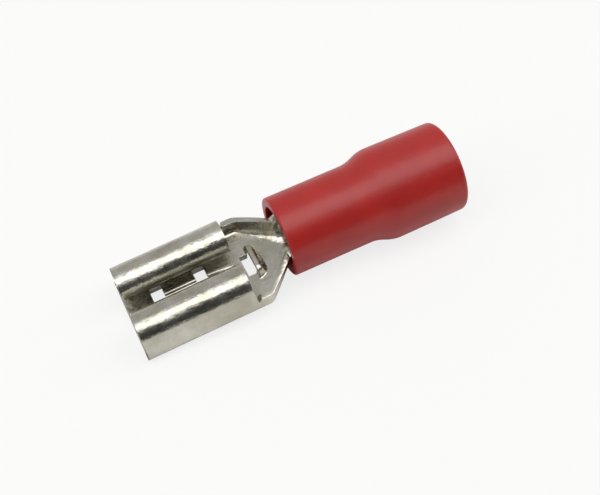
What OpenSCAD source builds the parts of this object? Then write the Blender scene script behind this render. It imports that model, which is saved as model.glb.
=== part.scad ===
// Female push-on spade terminal with an easy-entry insulating sleeve.
// It lies on the front edge of its receptacle floor and the wide part of its sleeve.
// +X runs from the mouth that takes the tab to the end that takes the wire, +Z is up.

/* [Overall] */
// Length from the mouth to the rear rim of the sleeve
total_len = 19; // [18.2:0.1:24]
// Thickness of the metal strip
strip_t = 0.38; // [0.3:0.01:0.42]

/* [Receptacle] */
// Width over the bottom corners
rec_w = 5.8; // [5.5:0.1:6.8]
// Height over the rolls
rec_h = 2.33; // [2.2:0.01:2.7]
// Where the rolled sides end, measured from the mouth
roll_end = 6.3; // [6:0.1:6.5]
// Set-back of the rolls behind the front edge of the floor
roll_setback = 0.1; // [0.05:0.05:0.5]
// Outer radius of each roll
roll_r = 1.08; // [0.95:0.01:1.15]
// Gap between the inner faces of the two rolls
roll_gap = 1.1; // [0.8:0.05:1.5]
// Where each roll stops, in degrees from level outwards over the top
roll_stop = 172; // [155:1:190]
// Outer radius of the bottom corners
corner_r = 0.6; // [0.5:0.02:0.8]
// Depth of the floor's underside below the barrel axis, at the end of the rolls
floor_drop = 1.59; // [1.45:0.01:1.8]
// Dip of the receptacle below the line of the barrel, in degrees
nose_dip = 2; // [0:0.25:4]
// Bevel along the front edge of the floor that leads the tab in
lead_in = 0.12; // [0.05:0.01:0.2]

/* [Floor slots and rib] */
// Front edge of the first slot
slot_start = 1.51; // [1:0.01:1.8]
// Distance from the first slot to the second
slot_pitch = 2.5; // [2.2:0.05:2.8]
// Length of each slot along the floor
slot_len = 0.67; // [0.4:0.01:0.9]
// Width of each slot across the floor
slot_w = 2.5; // [1.6:0.1:3]
// Width of the raised rib that the tab slides over
rib_w = 1.4; // [1.1:0.05:1.6]
// Height of the rib above the floor
rib_h = 0.24; // [0.18:0.01:0.3]
// Width of each of the rib's two crests
crest_w = 0.2; // [0.1:0.02:0.3]
// Depth of the groove between the crests
groove_depth = 0.14; // [0.05:0.01:0.16]
// Length over which the rib behind the second slot sinks into the floor
runout_len = 1.9; // [1.2:0.1:1.9]

/* [Tab stop] */
// Front edge of the window in front of the stop
window_start = 6.62; // [6.6:0.01:6.8]
// Length of the window along the floor
window_len = 0.5; // [0.4:0.01:0.6]
// Width of the window
window_w = 1.4; // [1:0.05:1.6]
// Width of the raised stop
stop_w = 2.2; // [1.8:0.05:2.3]
// Height of the stop above the floor
stop_h = 0.56; // [0.45:0.01:0.6]
// Width of the hollow under the stop
stop_hollow_w = 1.3; // [1:0.05:1.4]
// Thickness of the metal drawn up into the stop
stop_wall = 0.22; // [0.18:0.01:0.3]
// Radius of the stop's rear corners, seen from above
stop_corner_r = 0.45; // [0.2:0.05:0.45]

/* [Transition] */
// Where the side flanges begin to draw in
draw_start = 6.95; // [6.8:0.05:7.1]
// Where the strip has the width of the barrel
draw_end = 9.25; // [9:0.05:9.5]
// Length of the flange above its bottom corner
flange_h = 0.5; // [0.2:0.02:0.7]
// Length of the flange above the curve of the strip where it enters the sleeve
entry_h = 0.34; // [0.1:0.02:0.4]
// Turn of the flanges where they begin to draw in, in degrees from the floor
flange_turn = 89; // [85:1:100]
// Length of the notch between a roll and its flange
notch_len = 0.25; // [0.15:0.05:0.35]
// Turn of the flanges where they enter the sleeve, in degrees from the floor
entry_turn = 76; // [72:1:95]

/* [Wire barrel] */
// Inner diameter of the barrel
barrel_id = 1.74; // [1.5:0.02:2]
// Where the closed barrel begins, measured from the mouth
barrel_start = 9.85; // [9.7:0.05:10.1]
// Length of the closed barrel
barrel_len = 4.4; // [3.8:0.1:4.8]
// Width of the butt seam along the barrel
seam_w = 0.06; // [0.04:0.01:0.15]
// Number of serrations inside the barrel
serrations = 3; // [1:1:4]
// Depth of each serration
serration_depth = 0.08; // [0.04:0.01:0.12]
// Width of each serration
serration_w = 0.25; // [0.15:0.05:0.35]

/* [Insulating sleeve] */
// Where the sleeve's front rim lies, measured from the mouth
sleeve_start = 8.84; // [8.6:0.02:9]
// Outer diameter of the narrow front part
front_od = 4.45; // [4.3:0.05:5]
// Outer diameter of the wide rear part
rear_od = 5.2; // [5.1:0.05:6.5]
// Wall of the wide rear part
rear_wall = 0.55; // [0.45:0.05:0.8]
// Wall round the clear front opening
front_wall = 0.5; // [0.45:0.05:0.7]
// Depth of the clear front opening
front_relief = 0.85; // [0.5:0.05:0.95]
// Gap all round between the barrel and the sleeve
grip_gap = 0.01; // [0.01:0.01:0.04]
// Where the outside begins to widen, measured from the front rim
widen_start = 4.5; // [4:0.1:5]
// Length over which the outside widens
widen_len = 1.7; // [1.3:0.1:2.5]
// Length of the funnel that guides the wire
funnel_len = 1.5; // [1:0.1:1.8]
// Radius of the rounded front rim
front_rim_r = 0.12; // [0.06:0.02:0.2]
// Radius of the rounded rear rim
rear_rim_r = 0.26; // [0.1:0.02:0.3]
// Fall of the outer radius along the wide part, from the mould's draft
draft = 0.04; // [0:0.01:0.08]

/* [Hidden] */
$fn = 64;
eps = 0.01;

// How far a cutter reaches past what it cuts
over = 1;

// Receptacle section, in its own plane: Y across, Z up from the floor's underside
corner_y = rec_w / 2 - corner_r;
roll_y = roll_gap / 2 + roll_r;
roll_z = rec_h - roll_r;
sector_steps = 4;
centre_dist = norm([corner_y - roll_y, roll_z - corner_r]);
side_lean = atan2(corner_y - roll_y, roll_z - corner_r) - asin((roll_r - corner_r) / centre_dist);

// Rib section
rib_side = rib_h / 2;
rib_root = 0.05;
crest_y = rib_w / 2 - rib_side - crest_w;
groove_side = groove_depth / 2;

// Barrel and sleeve
barrel_r = barrel_id / 2;
barrel_od = barrel_id + 2 * strip_t;
barrel_mid_r = (barrel_id + strip_t) / 2;
barrel_end = barrel_start + barrel_len;
sleeve_len = total_len - sleeve_start;
front_r = front_od / 2;
rear_r = rear_od / 2;
grip_r = barrel_od / 2 + grip_gap;
widen_soft = 0.45;
widen_steps = 14;
rim_steps = 8;

// Transition: the strip is a little thinner here, so that its ends sit inside the neighbours
skin_t = strip_t - 4 * eps;
seat = 0.15;
draw_soft = 0.18;
close_turn = 172;
bend_steps = 12;
notch_steps = 4;
draw_steps = 24;

// Attitude at rest: the mouth and the front end of the sleeve's wide part touch the ground
mouth_z = -floor_drop - roll_end * sin(nose_dip);
wide_x = sleeve_start + widen_start + widen_len;
rest_tilt = atan((rear_r + mouth_z) / wide_x);

function mix(a, b, k) = a + (b - a) * k;

// Runs from 0 to 1 as k does, straight in the middle and with a soft start and end
function soft(k, b) =
    k <= 0 ? 0
    : k >= 1 ? 1
    : k < b ? k * k / (2 * b * (1 - b))
    : k > 1 - b ? 1 - (1 - k) * (1 - k) / (2 * b * (1 - b))
    : (k - b / 2) / (1 - b);

function polar(c, r, a) = [c[0] + r * cos(a), c[1] + r * sin(a)];

function arc(c, r, a0, a1, steps) = [for (i = [0:steps]) polar(c, r, mix(a0, a1, i / steps))];

function reversed(p) = [for (i = [len(p) - 1:-1:0]) p[i]];

function mirrored(p) = [for (q = p) [-q[0], q[1]]];

// --- Receptacle ---

module ring_sector(r, a0, a1) {
    intersection() {
        difference() {
            circle(r);
            circle(r - strip_t);
        }
        polygon(concat([[0, 0]], arc([0, 0], 2 * r, a0, a1, sector_steps)));
    }
}

module side_section() {
    translate([corner_y, corner_r]) ring_sector(corner_r, -90, side_lean);
    polygon([
        polar([corner_y, corner_r], corner_r, side_lean),
        polar([roll_y, roll_z], roll_r, side_lean),
        polar([roll_y, roll_z], roll_r - strip_t, side_lean),
        polar([corner_y, corner_r], corner_r - strip_t, side_lean)
    ]);
    translate([roll_y, roll_z]) ring_sector(roll_r, side_lean, roll_stop);
}

// Extrudes a section in Y and Z along +X
module along_x(length) {
    rotate([90, 0, 90]) linear_extrude(length) children();
}

// Places the receptacle, whose floor's underside is at Z 0, against the barrel axis
module dipped() {
    translate([roll_end, 0, -floor_drop]) rotate([0, -nose_dip, 0]) translate([-roll_end, 0, 0]) children();
}

module rolled_strip() {
    along_x(roll_end) {
        translate([-corner_y, 0]) square([2 * corner_y, strip_t]);
        side_section();
        mirror([1, 0]) side_section();
    }
}

// Cut that leaves only the floor standing out in front of the rolls
module setback() {
    translate([-over, -rec_w, strip_t]) cube([over + roll_setback, 2 * rec_w, rec_h]);
}

// Square bar turned on its edge, for the bevel along the front of the floor
module lead_in_bevel() {
    side = lead_in * sqrt(2);
    translate([0, 0, strip_t]) rotate([0, 45, 0]) cube([side, 2 * rec_w, side], center = true);
}

// Raised rib, pressed up from the floor, with a groove along its middle that leaves two crests
module rib_section() {
    polygon([
        [-rib_w / 2, strip_t - rib_root],
        [-rib_w / 2, strip_t],
        [-rib_w / 2 + rib_side, strip_t + rib_h],
        [-crest_y, strip_t + rib_h],
        [-crest_y + groove_side, strip_t + rib_h - groove_depth],
        [crest_y - groove_side, strip_t + rib_h - groove_depth],
        [crest_y, strip_t + rib_h],
        [rib_w / 2 - rib_side, strip_t + rib_h],
        [rib_w / 2, strip_t],
        [rib_w / 2, strip_t - rib_root]
    ]);
}

// Hollow that the rib leaves in the underside
module hollow_section() {
    polygon([
        [-rib_w / 2, -seat],
        [-rib_w / 2, 0],
        [-rib_w / 2 + rib_side, rib_h - groove_depth],
        [rib_w / 2 - rib_side, rib_h - groove_depth],
        [rib_w / 2, 0],
        [rib_w / 2, -seat]
    ]);
}

// Places the rib between the slots, and the one behind them that sinks into the floor
module rib_places() {
    translate([slot_start + slot_len, 0, 0]) along_x(slot_pitch - slot_len) children();
    translate([slot_start + slot_pitch + slot_len / 2, 0, 0]) rotate([0, atan(rib_h / runout_len), 0])
        along_x(runout_len) children();
}

module slots() {
    for (i = [0:1])
        translate([slot_start + i * slot_pitch, -slot_w / 2, -over]) cube([slot_len, slot_w, 2 * over]);
}

// --- Transition from the flat floor to the round barrel ---

function draw(x) = soft((x - draw_start) / (draw_end - draw_start), draw_soft);

function close(x) = soft((x - sleeve_start) / (barrel_start - seat - sleeve_start), draw_soft);

// Height of the strip's middle layer at its lowest line
function low_line(x) =
    mix(strip_t / 2 - floor_drop + (x - roll_end) * tan(nose_dip), -barrel_mid_r, draw(x));

// Length of the flange above the curve of the strip
function flange(x) =
    soft((x - roll_end) / notch_len, draw_soft) * mix(flange_h, entry_h, draw(x)) * (1 - close(x));

function upright(x) = mix(90 + side_lean, flange_turn, soft((x - roll_end) / notch_len, draw_soft));

function turn(x) = mix(mix(upright(x), entry_turn, draw(x)), close_turn, close(x));

// One skin of the half strip at x, from the floor's middle to the flange's edge, off to one side
function skin(x, off) =
    let (
        flat = mix(corner_y, eps, draw(x)),
        bend = mix(corner_r - strip_t / 2, barrel_mid_r, draw(x)),
        last = turn(x) - 90,
        centre = [flat, low_line(x) + bend],
        tip = polar(centre, bend + off, last)
    )
    concat(
        arc(centre, bend + off, -90, last, bend_steps),
        [tip + flange(x) * [-sin(last), cos(last)] + eps * [-sin(last), cos(last)]]
    );

function outline(x) =
    let (outer = skin(x, skin_t / 2), inner = skin(x, -skin_t / 2))
    concat(mirrored(reversed(outer)), outer, reversed(inner), mirrored(inner));

stations = concat(
    [roll_end - seat],
    [for (i = [1:notch_steps]) roll_end + notch_len * i / notch_steps],
    [for (i = [1:draw_steps]) mix(roll_end + notch_len, barrel_start - seat, i / draw_steps)],
    [barrel_start + seat]
);

module transition() {
    rings = [for (x = stations) outline(x)];
    n = len(rings[0]);
    last = len(stations) - 1;
    points = [for (i = [0:last]) for (p = rings[i]) [stations[i], p[0], p[1]]];
    walls = [
        for (i = [0:last - 1]) for (j = [0:n - 1])
            let (a = i * n + j, b = i * n + (j + 1) % n)
            each [[a, a + n, b], [b, a + n, b + n]]
    ];
    front = [for (j = [0:n / 2 - 2]) [j, j + 1, n - 2 - j, n - 1 - j]];
    back = [for (q = front) [for (i = [3:-1:0]) last * n + q[i]]];
    polyhedron(points, concat(front, walls, back), convexity = 6);
}

// --- Tab stop: a hollow louvre pressed up behind the window, open towards the mouth ---

stop_x = window_start + window_len;
stop_z = low_line(stop_x) + strip_t / 2;

// Bar across the floor whose section is a quarter disc, carried down below the floor's surface
module louvre(r, width, depth) {
    rotate([90, 0, 0]) linear_extrude(width, center = true) {
        intersection() {
            circle(r);
            square(r);
        }
        translate([0, -depth]) square([r, depth]);
    }
}

// Takes off one rear corner of the stop, seen from above
module corner_cut() {
    translate([stop_h - stop_corner_r, stop_w / 2 - stop_corner_r, -over]) difference() {
        cube([stop_corner_r + over, stop_corner_r + over, stop_h + 2 * over]);
        cylinder(h = stop_h + 2 * over, r = stop_corner_r);
    }
}

module stop_shell() {
    translate([stop_x, 0, stop_z]) difference() {
        louvre(stop_h, stop_w, seat);
        corner_cut();
        mirror([0, 1, 0]) corner_cut();
    }
}

module stop_hollow() {
    translate([stop_x, 0, stop_z]) louvre(stop_h - stop_wall, stop_hollow_w, over);
}

module window() {
    translate([window_start, -window_w / 2, -floor_drop - over]) cube([window_len, window_w, 2 * over]);
}

// --- Wire barrel ---

module barrel() {
    translate([barrel_start, 0, 0]) rotate([0, 90, 0]) difference() {
        cylinder(h = barrel_len, d = barrel_od);
        translate([0, 0, -over]) cylinder(h = barrel_len + 2 * over, d = barrel_id);
        for (i = [1:serrations])
            translate([0, 0, barrel_len * i / (serrations + 1) - serration_w / 2])
                cylinder(h = serration_w, d = barrel_id + 2 * serration_depth);
    }
}

module seam() {
    translate([barrel_start - over, -seam_w / 2, 0]) cube([barrel_len + 2 * over, seam_w, barrel_od]);
}

// --- Insulating sleeve, as a profile of radius against distance from its front rim ---

function widen(x) = mix(front_r, rear_r, soft((x - widen_start) / widen_len, widen_soft));

module sleeve_profile() {
    bore_r = front_r - front_wall;
    throat_x = barrel_end - sleeve_start;
    polygon(concat(
        [[bore_r, 0]],
        arc([front_r - front_rim_r, front_rim_r], front_rim_r, -90, 0, rim_steps),
        [for (i = [0:widen_steps]) let (x = widen_start + widen_len * i / widen_steps) [widen(x), x]],
        arc([rear_r - draft - rear_rim_r, sleeve_len - rear_rim_r], rear_rim_r, 0, 90, rim_steps),
        [
            [rear_r - draft - rear_wall, sleeve_len],
            [rear_r - draft - rear_wall, throat_x + grip_gap + funnel_len],
            [barrel_r, throat_x + grip_gap],
            [grip_r, throat_x + grip_gap],
            [grip_r, front_relief + bore_r - grip_r],
            [bore_r, front_relief]
        ]
    ));
}

// --- The two pieces, laid down at rest ---

module lying() {
    translate([-total_len / 2, 0, 0]) rotate([0, -rest_tilt, 0]) translate([0, 0, -mouth_z]) children();
}

module terminal() {
    color("gainsboro") lying() difference() {
        union() {
            dipped() difference() {
                union() {
                    rolled_strip();
                    rib_places() rib_section();
                }
                setback();
                lead_in_bevel();
                slots();
                rib_places() hollow_section();
            }
            transition();
            stop_shell();
            barrel();
        }
        window();
        stop_hollow();
        seam();
    }
}

module insulating_sleeve() {
    color("firebrick") lying() translate([sleeve_start, 0, 0]) rotate([0, 90, 0])
        rotate_extrude($fn = 96) sleeve_profile();
}

terminal();
insulating_sleeve();
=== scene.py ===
import math

import bmesh
import bpy
from mathutils import Matrix, Vector


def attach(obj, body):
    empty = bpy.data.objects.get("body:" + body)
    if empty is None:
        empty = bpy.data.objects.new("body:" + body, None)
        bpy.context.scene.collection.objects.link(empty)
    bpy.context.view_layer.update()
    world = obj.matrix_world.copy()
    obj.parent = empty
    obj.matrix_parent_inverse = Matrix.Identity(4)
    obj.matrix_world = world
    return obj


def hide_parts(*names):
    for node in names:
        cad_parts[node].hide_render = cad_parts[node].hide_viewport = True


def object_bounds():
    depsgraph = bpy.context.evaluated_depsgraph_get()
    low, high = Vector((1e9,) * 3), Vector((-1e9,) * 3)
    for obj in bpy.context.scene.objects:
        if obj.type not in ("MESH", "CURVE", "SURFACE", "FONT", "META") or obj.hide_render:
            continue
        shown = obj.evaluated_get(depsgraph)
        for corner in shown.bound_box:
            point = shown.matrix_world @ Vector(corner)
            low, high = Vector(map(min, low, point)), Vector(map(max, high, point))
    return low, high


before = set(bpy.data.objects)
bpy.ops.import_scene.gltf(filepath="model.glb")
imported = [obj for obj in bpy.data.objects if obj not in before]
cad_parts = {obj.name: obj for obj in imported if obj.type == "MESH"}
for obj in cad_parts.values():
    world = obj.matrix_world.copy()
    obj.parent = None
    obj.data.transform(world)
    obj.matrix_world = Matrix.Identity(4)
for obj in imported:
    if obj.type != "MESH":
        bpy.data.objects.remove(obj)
cadLow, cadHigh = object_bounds()
mm = 0.001
tiny = 1e-6  # millimetres, for comparing places along the strip

scene = bpy.context.scene
scene.view_settings.view_transform = "Standard"


def mix(a, b, k):
    return a + (b - a) * k


def soft(k, edge):  # 0 to 1 as k does, straight in the middle and with a soft start and end
    if k <= 0:
        return 0.0
    if k >= 1:
        return 1.0
    if k < edge:
        return k * k / (2 * edge * (1 - edge))
    if k > 1 - edge:
        return 1 - (1 - k) ** 2 / (2 * edge * (1 - edge))
    return (k - edge / 2) / (1 - edge)


def smooth(k):
    k = min(max(k, 0.0), 1.0)
    return k * k * (3 - 2 * k)


def spread(start, end, step):  # evenly spaced values from start to just before end
    count = max(1, round((end - start) / step))
    return [mix(start, end, i / count) for i in range(count)]


def spreadThrough(marks, step):  # the same, with a value on every mark
    values = []
    for start, end in zip(marks, marks[1:]):
        values += spread(start, end, step)
    return values + [marks[-1]]


# The strip and the sleeve are drawn along X from the mouth, with the barrel's axis at Y = Z = 0,
# and are then laid down as they come to rest, on the mouth and on the sleeve's wide part.
rest = {
    "length": 19.0,
    "floorDrop": 1.59,  # floor's underside below the barrel's axis, where the rolls end
    "noseDip": math.radians(2),  # the receptacle hangs a little from the line of the barrel
    "rollEnd": 6.3,
    "wideStart": 15.04,  # where the sleeve reaches its full radius
    "wideRadius": 2.6,
}
mouthZ = -rest["floorDrop"] - rest["rollEnd"] * math.sin(rest["noseDip"])
restTilt = math.atan((rest["wideRadius"] + mouthZ) / rest["wideStart"])
layDown = (
    Matrix.Translation((-rest["length"] / 2, 0, 0))
    @ Matrix.Rotation(-restTilt, 4, "Y")
    @ Matrix.Translation((0, 0, -mouthZ))
)


def newPiece(name, bm, node):
    mesh = bpy.data.meshes.new(name)
    bm.to_mesh(mesh)
    bm.free()
    piece = bpy.data.objects.new(name, mesh)
    scene.collection.objects.link(piece)
    mesh.transform(Matrix.Scale(mm, 4) @ layDown)
    mesh.shade_smooth()
    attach(piece, "root")
    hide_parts(node)
    return piece


def linear(hexColour):
    parts = [int(hexColour[i : i + 2], 16) / 255 for i in (1, 3, 5)]
    return [c / 12.92 if c <= 0.04045 else ((c + 0.055) / 1.055) ** 2.4 for c in parts] + [1.0]


def addNode(tree, kind, settings=None, links=None):
    node = tree.nodes.new(kind)
    for key, value in (settings or {}).items():
        if isinstance(key, str) and hasattr(node, key):
            setattr(node, key, value)
        else:
            node.inputs[key].default_value = value
    for key, source in (links or {}).items():
        tree.links.new(source, node.inputs[key])
    return node


def ramp(tree, source, stops):
    node = addNode(tree, "ShaderNodeValToRGB", {}, {"Fac": source})
    while len(node.color_ramp.elements) < len(stops):
        node.color_ramp.elements.new(0.5)
    for element, (place, colour) in zip(node.color_ramp.elements, stops):
        element.position = place
        element.color = linear(colour) if isinstance(colour, str) else [colour] * 3 + [1.0]
    return node


def emptyMaterial(name):
    material = bpy.data.materials.new(name)
    material.use_nodes = True
    tree = material.node_tree
    tree.nodes.clear()
    shader = addNode(tree, "ShaderNodeBsdfPrincipled")
    addNode(tree, "ShaderNodeOutputMaterial", {}, {"Surface": shader.outputs[0]})
    return material, tree, shader


def perMm(size):  # texture scale that gives features of this many millimetres
    return 1 / (size * mm)


def noise(tree, place, size, detail, roughness=0.5):
    settings = {"Scale": perMm(size), "Detail": detail, "Roughness": roughness}
    return addNode(tree, "ShaderNodeTexNoise", settings, {"Vector": place})


def bumps(tree, texture, depth, below=None):  # depth in millimetres, laid over the bumps below
    settings = {"Strength": 1.0, "Distance": depth * mm}
    node = addNode(tree, "ShaderNodeBump", settings, {"Height": texture.outputs["Fac"]})
    if below is not None:
        tree.links.new(below.outputs[0], node.inputs["Normal"])
    return node


# Electroplated tin on rolled and stamped brass: a soft silver-grey metal, cloudy from handling and
# a little wavy, with fine rolling lines along the strip and slanting scratches from the hopper.
tin = {
    "clouds": {"size": 1.6, "detail": 4.0, "roughness": 0.6},
    "colours": [(0.35, "#B9B5A6"), (0.65, "#D9D6CC")],
    "cloudRange": (0.3, 0.7),
    "roughness": (0.2, 0.34),
    "dents": {"size": 0.45, "detail": 3.0, "roughness": 0.55},
    "dentDepth": 0.035,
    "lines": {"size": 0.09, "detail": 3.0},
    "lineStretch": (0.08, 1.0, 1.0),
    "lineDepth": 0.004,
    "scratches": {"size": 0.13, "detail": 2.0},
    "scratchTurn": (0.3, 0.2, math.radians(58)),
    "scratchStretch": (0.07, 1.0, 1.0),
    "scratchDepth": 0.007,
}


def tinPlateMaterial():
    material, tree, shader = emptyMaterial("tinPlatedBrass")
    shader.inputs["Metallic"].default_value = 1.0
    place = addNode(tree, "ShaderNodeTexCoord").outputs["Object"]

    clouds = noise(tree, place, **tin["clouds"])
    colour = ramp(tree, clouds.outputs["Fac"], tin["colours"])
    tree.links.new(colour.outputs["Color"], shader.inputs["Base Color"])
    low, high = tin["cloudRange"]
    bright, dull = tin["roughness"]
    roughness = addNode(
        tree,
        "ShaderNodeMapRange",
        {"From Min": low, "From Max": high, "To Min": bright, "To Max": dull},
        {"Value": clouds.outputs["Fac"]},
    )
    tree.links.new(roughness.outputs[0], shader.inputs["Roughness"])

    along = addNode(tree, "ShaderNodeMapping", {"Scale": tin["lineStretch"]}, {"Vector": place})
    slanted = addNode(
        tree,
        "ShaderNodeMapping",
        {"Rotation": tin["scratchTurn"], "Scale": tin["scratchStretch"]},
        {"Vector": place},
    )
    dents = noise(tree, place, **tin["dents"])
    rollingLines = noise(tree, along.outputs[0], **tin["lines"])
    scratches = noise(tree, slanted.outputs[0], **tin["scratches"])
    surface = bumps(tree, dents, tin["dentDepth"])
    surface = bumps(tree, rollingLines, tin["lineDepth"], surface)
    surface = bumps(tree, scratches, tin["scratchDepth"], surface)
    tree.links.new(surface.outputs[0], shader.inputs["Normal"])
    return material


# Injection-moulded plasticised PVC: an even red with a broad soft sheen and a faint orange-peel skin.
pvc = {
    "clouds": {"size": 2.2, "detail": 3.0},
    "colours": [(0.3, "#A3201D"), (0.7, "#B22622")],
    "roughness": 0.36,
    "refraction": 1.53,
    "peel": {"size": 0.35, "detail": 2.0},
    "peelDepth": 0.012,
}


def redPvcMaterial():
    material, tree, shader = emptyMaterial("mouldedRedPvc")
    place = addNode(tree, "ShaderNodeTexCoord").outputs["Object"]
    clouds = noise(tree, place, **pvc["clouds"])
    colour = ramp(tree, clouds.outputs["Fac"], pvc["colours"])
    tree.links.new(colour.outputs["Color"], shader.inputs["Base Color"])
    shader.inputs["Roughness"].default_value = pvc["roughness"]
    shader.inputs["IOR"].default_value = pvc["refraction"]
    skin = bumps(tree, noise(tree, place, **pvc["peel"]), pvc["peelDepth"])
    tree.links.new(skin.outputs[0], shader.inputs["Normal"])
    return material


strip = {
    "thickness": 0.38,
    "cornerY": 2.3,  # half width of the flat floor
    "cornerRadius": 0.6,  # outside
    "rollY": 1.63,  # centre of a roll
    "rollZ": 1.25,
    "rollRadius": 1.08,  # outside
    "rollStop": math.radians(172),
    "rollSetback": 0.1,
    "slots": [(1.51, 2.18), (4.01, 4.68)],
    "slotHalf": 1.25,
    "rib": (2.18, 4.01),
    "runout": (4.345, 6.245),  # the second rib's line, which sinks into the floor
    "ribHalf": 0.7,
    "ribHeight": 0.24,
    "ribCrest": 0.2,
    "ribGroove": 0.14,
    "ribBend": 0.015,  # half width of the rib's small bends
    "window": (6.62, 7.12),
    "windowHalf": 0.7,
    "stopHalf": 1.1,
    "stopHeight": 0.56,
    "stopCorner": 0.45,
    "stopFade": 0.5,  # share of the corner's radius where the louvre starts to sink
    "stopEndPower": 6,  # higher is squarer at the louvre's two ends
    "drawStart": 6.95,
    "drawEnd": 9.25,
    "ease": 0.18,  # share of each change in section that is its soft start, and its soft end
    "leastFlat": 0.0005,  # half of the flat that is left where the barrel is round
    "leastFlange": 0.01,
    "flangeHeight": 0.5,
    "entryHeight": 0.34,
    "flangeTurn": 89,
    "notch": 0.25,
    "entryTurn": 76,
    "closeTurn": 178.2,
    "closeEnd": 9.7,
    "sleeveStart": 8.84,
    "barrelStart": 9.85,
    "barrelEnd": 14.25,
    "barrelRadius": 1.06,  # middle of the wall
    "serrations": 3,
    "serrationWidth": 0.25,
    "serrationDepth": 0.08,
    "serrationEdge": 0.004,  # half width of a serration's steep side
    "edgeRadius": 0.035,
    "step": 0.09,  # grid spacing
    "rearStep": 0.6,  # share of it behind the rolls, where the bends are tighter
    "weld": 0.0002,
}
halfT = strip["thickness"] / 2


def leanAngle():  # how far the walls lean in, from the tangent between corner and roll
    across = strip["cornerY"] - strip["rollY"]
    up = strip["rollZ"] - strip["cornerRadius"]
    gap = strip["rollRadius"] - strip["cornerRadius"]
    return math.atan2(across, up) - math.asin(gap / math.hypot(across, up))


sideLean = leanAngle()


def draw(x):
    return soft((x - strip["drawStart"]) / (strip["drawEnd"] - strip["drawStart"]), strip["ease"])


def notchRise(x):
    return soft((x - rest["rollEnd"]) / strip["notch"], strip["ease"])


def closing(x):
    length = strip["closeEnd"] - strip["sleeveStart"]
    return soft((x - strip["sleeveStart"]) / length, strip["ease"])


def turn(x):
    upright = mix(90 + math.degrees(sideLean), strip["flangeTurn"], notchRise(x))
    drawn = mix(upright, strip["entryTurn"], draw(x))
    return math.radians(mix(drawn, strip["closeTurn"], closing(x)))


def flangeRise(x):
    height = mix(strip["flangeHeight"], strip["entryHeight"], draw(x))
    return height * notchRise(x) * (1 - closing(x))


def lowLine(x):
    level = halfT - rest["floorDrop"] + (x - rest["rollEnd"]) * math.tan(rest["noseDip"])
    return mix(level, -strip["barrelRadius"], draw(x))


def floorMarks():  # lines across the floor that the cut-outs need, as shares of its half width
    side = strip["ribHalf"] - strip["ribHeight"] / 2
    crest = side - strip["ribCrest"]
    groove = crest - strip["ribGroove"] / 2
    edges = [0]
    for bend in (groove, crest, side, strip["ribHalf"]):
        edges += [bend - strip["ribBend"], bend + strip["ribBend"]]
    edges += [strip["slotHalf"], strip["cornerY"]]
    return [y / strip["cornerY"] for y in spreadThrough(edges, strip["step"])]


floorShares = floorMarks()
cornerSteps, wallSteps, rollSteps = 22, 7, 30


def halfSection(x, inReceptacle):
    # points (y, z) and outward directions, from the floor's middle to the strip's edge
    points = []
    shrink = 0 if inReceptacle else draw(x)
    flat = mix(strip["cornerY"], strip["leastFlat"], shrink)
    bend = mix(strip["cornerRadius"] - halfT, strip["barrelRadius"], shrink)
    low = halfT if inReceptacle else lowLine(x)
    last = sideLean if inReceptacle else turn(x) - math.pi / 2
    for share in floorShares[:-1]:
        points.append(((share * flat, low), (0.0, -1.0)))
    for i in range(cornerSteps + 1):
        a = mix(-math.pi / 2, last, i / cornerSteps)
        out = (math.cos(a), math.sin(a))
        points.append(((flat + bend * out[0], low + bend + bend * out[1]), out))
    foot, out = points[-1]
    if inReceptacle:
        radius = strip["rollRadius"] - halfT
        head = (strip["rollY"] + radius * math.cos(last), strip["rollZ"] + radius * math.sin(last))
    else:
        rise = flangeRise(x) + strip["leastFlange"]
        head = (foot[0] - rise * math.sin(last), foot[1] + rise * math.cos(last))
    for i in range(1, wallSteps + 1):
        k = i / wallSteps
        points.append(((mix(foot[0], head[0], k), mix(foot[1], head[1], k)), out))
    if inReceptacle:
        for i in range(1, rollSteps + 1):
            a = mix(last, strip["rollStop"], i / rollSteps)
            out = (math.cos(a), math.sin(a))
            centre = (strip["rollY"], strip["rollZ"])
            points.append(((centre[0] + radius * out[0], centre[1] + radius * out[1]), out))
    return points


def fullSection(half):
    left = [((-y, z), (-a, b)) for (y, z), (a, b) in half[:0:-1]]
    return left + half


def ribLift(x, y):  # one long rib with a groove along its crest, sinking behind the second slot
    height, half = strip["ribHeight"], strip["ribHalf"]
    if strip["rib"][0] - tiny <= x <= strip["rib"][1] + tiny:
        sunk = 0.0
    elif strip["runout"][0] <= x <= strip["runout"][1]:
        sunk = height * (x - strip["runout"][0]) / (strip["runout"][1] - strip["runout"][0])
    else:
        return 0.0
    side = half - height / 2
    crest = side - strip["ribCrest"]
    rise = height * smooth((half - abs(y)) / (half - side))
    dip = strip["ribGroove"] * smooth((crest - abs(y)) / (strip["ribGroove"] / 2))
    return max(0.0, rise - dip - sunk)


def stopLift(x, y):  # a louvre with its steep open side at the window
    height, half, corner = strip["stopHeight"], strip["stopHalf"], strip["stopCorner"]
    back = x - strip["window"][1]
    if back < -tiny or back >= height or abs(y) >= half:
        return 0.0
    past = (back - height + corner, abs(y) - half + corner)
    if min(past) > 0 and math.hypot(*past) >= corner:
        return 0.0
    ends = math.sqrt(max(0.0, 1 - (abs(y) / half) ** strip["stopEndPower"]))
    fade = strip["stopFade"]
    rear = 1 - smooth((math.hypot(*past) / corner - fade) / (1 - fade)) if min(past) > 0 else 1.0
    return math.sqrt(max(0.0, height**2 - back**2)) * ends * rear


def serrationMiddles():
    length = strip["barrelEnd"] - strip["barrelStart"]
    count = strip["serrations"]
    return [strip["barrelStart"] + length * (i + 1) / (count + 1) for i in range(count)]


def serrationCut(x):
    inOne = any(abs(x - middle) < strip["serrationWidth"] / 2 for middle in serrationMiddles())
    return strip["serrationDepth"] if inOne else 0.0


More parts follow.
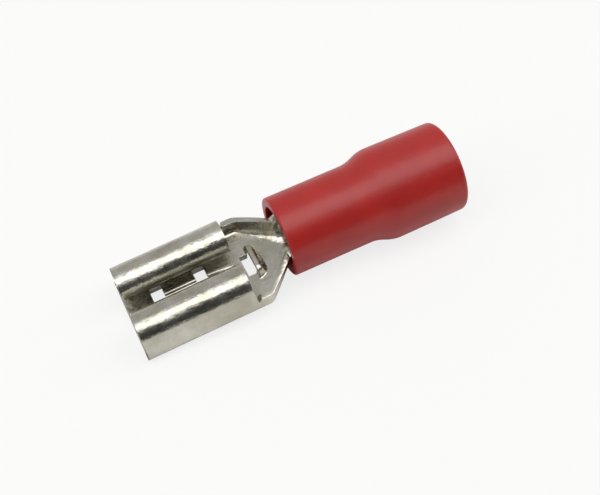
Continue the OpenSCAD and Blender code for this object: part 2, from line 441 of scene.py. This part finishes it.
def dipped(x, y, z):  # from the receptacle's own plane to the barrel's frame
    c, s = math.cos(rest["noseDip"]), math.sin(rest["noseDip"])
    along = x - rest["rollEnd"]
    return Vector((rest["rollEnd"] + along * c - z * s, y, -rest["floorDrop"] + along * s + z * c))


def stripRows():
    # each row is x and, across the strip, its outer point, inner point and height above the floor
    rows = []
    marks = [0, strip["rollSetback"]]
    marks += [x for slot in strip["slots"] for x in slot] + [rest["rollEnd"]]
    for x in spreadThrough(marks, strip["step"]):
        row = []
        for (y, z), (a, b) in fullSection(halfSection(x, True)):
            lift = ribLift(x, y) if z < strip["cornerRadius"] else 0.0
            outer = dipped(x, y + a * halfT, z + b * halfT + lift)
            inner = dipped(x, y - a * halfT, z - b * halfT + lift)
            row.append((outer, inner, z))
        rows.append((x, row))
    marks = [rest["rollEnd"], rest["rollEnd"] + strip["notch"], *strip["window"]]
    marks += [strip["window"][1] + strip["stopHeight"], strip["barrelStart"]]
    for middle in serrationMiddles():
        for side in (-0.5, 0.5):
            edge = middle + side * strip["serrationWidth"]
            marks += [edge - strip["serrationEdge"], edge + strip["serrationEdge"]]
    marks.append(strip["barrelEnd"])
    for x in spreadThrough(marks, strip["step"] * strip["rearStep"])[1:]:
        row = []
        cut = serrationCut(x)
        for (y, z), (a, b) in fullSection(halfSection(x, False)):
            lift = stopLift(x, y)
            outer = Vector((x, y + a * halfT, z + b * halfT + lift))
            inner = Vector((x, y - a * (halfT - cut), z - b * (halfT - cut) + lift))
            row.append((outer, inner, z - lowLine(x) + halfT))
        rows.append((x, row))
    return rows


def isCutOut(x, y, height):
    if x < strip["rollSetback"]:
        return height > strip["thickness"]
    if height > strip["cornerRadius"]:
        return False
    inSlot = any(a < x < b for a, b in strip["slots"]) and abs(y) < strip["slotHalf"]
    inWindow = strip["window"][0] < x < strip["window"][1] and abs(y) < strip["windowHalf"]
    return inSlot or inWindow


def makeTerminal():
    rows = stripRows()
    bm = bmesh.new()
    sheared = bm.edges.layers.float.new("bevel_weight_edge")
    shortRow = len(rows[-1][1])
    skip = (len(rows[0][1]) - shortRow) // 2  # the rolls' points on each side
    grid = []
    for x, row in rows:
        pad = 0 if len(row) > shortRow else skip
        verts = [(bm.verts.new(outer), bm.verts.new(inner), height) for outer, inner, height in row]
        verts = [None] * pad + verts + [None] * pad
        grid.append((x, verts))
    kept = []
    for r in range(len(grid) - 1):
        (x0, low), (x1, high) = grid[r], grid[r + 1]
        for c in range(len(low) - 1):
            corners = (low[c], low[c + 1], high[c + 1], high[c])
            if None in corners:
                continue
            across = sum(q[0].co.y for q in corners) / 4
            height = sum(q[2] for q in corners) / 4
            if not isCutOut((x0 + x1) / 2, across, height):
                kept.append(corners)
    uses = {}
    for corners in kept:
        bm.faces.new([q[0] for q in corners])
        bm.faces.new([q[1] for q in reversed(corners)])
        for a, b in zip(corners, corners[1:] + corners[:1]):
            key = frozenset((id(a), id(b)))
            uses.setdefault(key, []).append((a, b))
    for pairs in uses.values():
        if len(pairs) == 1:
            a, b = pairs[0]
            bm.faces.new([b[0], a[0], a[1], b[1]])
            for end in (0, 1):
                bm.edges.get([a[end], b[end]])[sheared] = 1.0
    loose = [v for v in bm.verts if not v.link_faces]
    bmesh.ops.delete(bm, geom=loose, context="VERTS")
    bmesh.ops.remove_doubles(bm, verts=bm.verts, dist=strip["weld"])
    bmesh.ops.recalc_face_normals(bm, faces=bm.faces)
    piece = newPiece("stampedStrip", bm, "terminal")
    bevel = piece.modifiers.new("shearedEdges", "BEVEL")
    bevel.limit_method = "WEIGHT"
    bevel.width = strip["edgeRadius"] * mm
    bevel.segments = 2
    piece.modifiers.new("evenShading", "WEIGHTED_NORMAL")
    piece.data.materials.append(tinPlateMaterial())
    return piece


terminal = makeTerminal()
print("stamped strip:", len(terminal.data.polygons), "faces")

sleeve = {
    "start": strip["sleeveStart"],
    "length": 10.16,
    "frontRadius": 2.225,
    "rearRadius": rest["wideRadius"],
    "draft": 0.04,
    "frontWall": 0.5,
    "frontRelief": 0.85,
    "rearWall": 0.55,
    "gripRadius": 1.26,
    "boreRadius": 0.87,
    "throat": 5.41,  # barrel's rear end, from the sleeve's front rim
    "gripGap": 0.01,
    "funnel": 1.5,
    "widenStart": 4.5,
    "widenLength": 1.7,
    "frontRim": 0.12,
    "rearRim": 0.26,
    "innerRim": 0.05,
    "funnelEdge": 0.03,  # broken corners at the funnel's two ends
    "funnelRun": 0.05,
    "boreEdge": 0.02,
    "frontStraight": 0.3,
    "straightStep": 0.25,
    "widenStep": 0.06,
    "widenEase": 0.45,
    "innerRimSteps": 4,
    "frontRimSteps": 7,
    "rearRimSteps": 9,
    "around": 224,
    "crease": math.radians(35),  # sharper edges than this are shaded as edges
}


def arc(centre, radius, start, end, steps):
    angles = [math.radians(mix(start, end, i / steps)) for i in range(steps + 1)]
    return [(centre[0] + radius * math.cos(a), centre[1] + radius * math.sin(a)) for a in angles]


def sleeveProfile():  # (radius, distance from the front rim), once round the wall
    s = sleeve
    bore = s["frontRadius"] - s["frontWall"]
    rear = s["rearRadius"] - s["draft"]
    inner = rear - s["rearWall"]
    rim = s["innerRim"]
    points = arc((bore + rim, rim), rim, -180, -90, s["innerRimSteps"])
    front = (s["frontRadius"] - s["frontRim"], s["frontRim"])
    points += arc(front, s["frontRim"], -90, 0, s["frontRimSteps"])
    for x in spread(s["frontStraight"], s["widenStart"], s["straightStep"]):
        points.append((s["frontRadius"], x))
    wideEnd = s["widenStart"] + s["widenLength"]
    for x in spread(s["widenStart"], wideEnd, s["widenStep"]):
        k = soft((x - s["widenStart"]) / s["widenLength"], s["widenEase"])
        points.append((mix(s["frontRadius"], s["rearRadius"], k), x))
    for x in spread(wideEnd, s["length"] - s["rearRim"], s["straightStep"]):
        k = (x - wideEnd) / (s["length"] - s["rearRim"] - wideEnd)
        points.append((s["rearRadius"] - s["draft"] * k, x))
    rearCentre = (rear - s["rearRim"], s["length"] - s["rearRim"])
    points += arc(rearCentre, s["rearRim"], 0, 90, s["rearRimSteps"])
    points += arc((inner + rim, s["length"] - rim), rim, 90, 180, s["innerRimSteps"])
    step = s["throat"] + s["gripGap"]
    edge = s["funnelEdge"]
    points += [(inner, step + s["funnel"] + s["funnelRun"]), (inner - edge, step + s["funnel"] - edge)]
    points += [(s["boreRadius"] + s["boreEdge"], step + edge), (s["boreRadius"], step)]
    points += [(s["gripRadius"], step), (s["gripRadius"], s["frontRelief"] + bore - s["gripRadius"])]
    points.append((bore, s["frontRelief"]))
    return points


def makeSleeve():
    bm = bmesh.new()
    rings = []
    for radius, along in sleeveProfile():
        ring = []
        for i in range(sleeve["around"]):
            a = 2 * math.pi * i / sleeve["around"]
            place = (sleeve["start"] + along, radius * math.cos(a), radius * math.sin(a))
            ring.append(bm.verts.new(place))
        rings.append(ring)
    for low, high in zip(rings, rings[1:] + rings[:1]):
        for i in range(sleeve["around"]):
            j = (i + 1) % sleeve["around"]
            bm.faces.new((low[i], low[j], high[j], high[i]))
    bmesh.ops.recalc_face_normals(bm, faces=bm.faces)
    for edge in bm.edges:
        edge.smooth = edge.calc_face_angle(0) < sleeve["crease"]
    piece = newPiece("mouldedSleeve", bm, "insulating_sleeve")
    piece.data.materials.append(redPvcMaterial())
    return piece


sleevePiece = makeSleeve()
print("moulded sleeve:", len(sleevePiece.data.polygons), "faces")

studio = {
    "floorSize": 0.6,
    "floorColour": "#E8E7E4",
    "floorRoughness": 0.9,
    "glowShare": 0.8,  # how much of the table the camera sees as plain white
    "softboxLight": 2.3,
    "softboxFrom": 0.9,  # ramp value where the softbox's extra light starts
    "farSide": 0.5,
    "cameraSide": 0.04,
    "below": 0.5,
    "cameraSideStart": 121,  # degrees up from the far horizon, over the top
    "softboxStart": 77,
    "softEdge": 3,
    "belowEnd": -2,
    "farSideStart": 4,
    "cameraSideEnd": 179,
}


# A pale matt table top that glows for the camera, so that it reads as white with a faint shadow.
def makeFloor():
    bm = bmesh.new()
    bmesh.ops.create_grid(bm, x_segments=1, y_segments=1, size=studio["floorSize"] / 2)
    mesh = bpy.data.meshes.new("studioFloor")
    bm.to_mesh(mesh)
    bm.free()
    floor = bpy.data.objects.new("studioFloor", mesh)
    scene.collection.objects.link(floor)
    floor.location.z = cadLow.z
    material, tree, shader = emptyMaterial("paleTable")
    shader.inputs["Base Color"].default_value = linear(studio["floorColour"])
    shader.inputs["Roughness"].default_value = studio["floorRoughness"]
    seen = addNode(tree, "ShaderNodeLightPath").outputs["Is Camera Ray"]
    settings = {"operation": "MULTIPLY", 1: studio["glowShare"]}
    share = addNode(tree, "ShaderNodeMath", settings, {0: seen})
    glow = addNode(tree, "ShaderNodeEmission", {"Color": (1, 1, 1, 1), "Strength": 1.0})
    sources = {0: share.outputs[0], 1: shader.outputs[0], 2: glow.outputs[0]}
    both = addNode(tree, "ShaderNodeMixShader", {}, sources)
    output = next(n for n in tree.nodes if n.type == "OUTPUT_MATERIAL")
    tree.links.new(both.outputs[0], output.inputs["Surface"])
    floor.data.materials.append(material)


def makeWorld():
    world = bpy.data.worlds.new("softStudio")
    scene.world = world
    world.use_nodes = True
    tree = world.node_tree
    tree.nodes.clear()
    direction = addNode(tree, "ShaderNodeTexCoord").outputs["Generated"]
    parts = addNode(tree, "ShaderNodeSeparateXYZ", {}, {0: direction})
    angle = addNode(
        tree,
        "ShaderNodeMath",
        {"operation": "ARCTAN2"},
        {0: parts.outputs["Z"], 1: parts.outputs["Y"]},
    )
    turned = addNode(
        tree,
        "ShaderNodeMapRange",
        {"From Min": -math.pi, "From Max": math.pi, "To Min": 0.0, "To Max": 1.0},
        {"Value": angle.outputs[0]},
    )

    def at(degrees):
        return (degrees + 180) / 360

    s = studio
    edge = s["softEdge"]
    light = ramp(
        tree,
        turned.outputs[0],
        [
            (at(-180), s["below"]),
            (at(s["belowEnd"]), s["below"]),
            (at(s["farSideStart"]), s["farSide"]),
            (at(s["softboxStart"] - edge), s["farSide"]),
            (at(s["softboxStart"] + edge), 1.0),
            (at(s["cameraSideStart"] - edge), 1.0),
            (at(s["cameraSideStart"] + edge), s["cameraSide"]),
            (at(s["cameraSideEnd"]), s["cameraSide"]),
        ],
    )
    boost = addNode(
        tree,
        "ShaderNodeMapRange",
        {"From Min": s["softboxFrom"], "From Max": 1.0, "To Min": 1.0, "To Max": s["softboxLight"]},
        {"Value": light.outputs["Color"]},
    )
    sources = {"Color": light.outputs["Color"], "Strength": boost.outputs[0]}
    lit = addNode(tree, "ShaderNodeBackground", {}, sources)
    white = addNode(tree, "ShaderNodeBackground", {"Color": (1, 1, 1, 1), "Strength": 1.0})
    seen = addNode(tree, "ShaderNodeLightPath").outputs["Is Camera Ray"]
    sources = {0: seen, 1: lit.outputs[0], 2: white.outputs[0]}
    both = addNode(tree, "ShaderNodeMixShader", {}, sources)
    addNode(tree, "ShaderNodeOutputWorld", {}, {"Surface": both.outputs[0]})


def makeCamera():
    view = {
        "place": Vector((-12.285, -33.208, 45.796)) * mm,
        "target": Vector((0.043, -0.906, 1.945)) * mm,
        "roll": math.radians(-5.06),
        "lens": 63,
        "near": 0.001,
        "far": 5,
    }
    camera = bpy.data.objects.new("camera", bpy.data.cameras.new("camera"))
    scene.collection.objects.link(camera)
    camera.data.lens = view["lens"]
    camera.data.clip_start = view["near"]
    camera.data.clip_end = view["far"]
    aim = (view["target"] - view["place"]).to_track_quat("-Z", "Y").to_matrix().to_4x4()
    rolled = aim @ Matrix.Rotation(view["roll"], 4, "Z")
    camera.matrix_world = Matrix.Translation(view["place"]) @ rolled
    scene.camera = camera


makeFloor()
makeWorld()
makeCamera()
print("floor, light and camera ready")
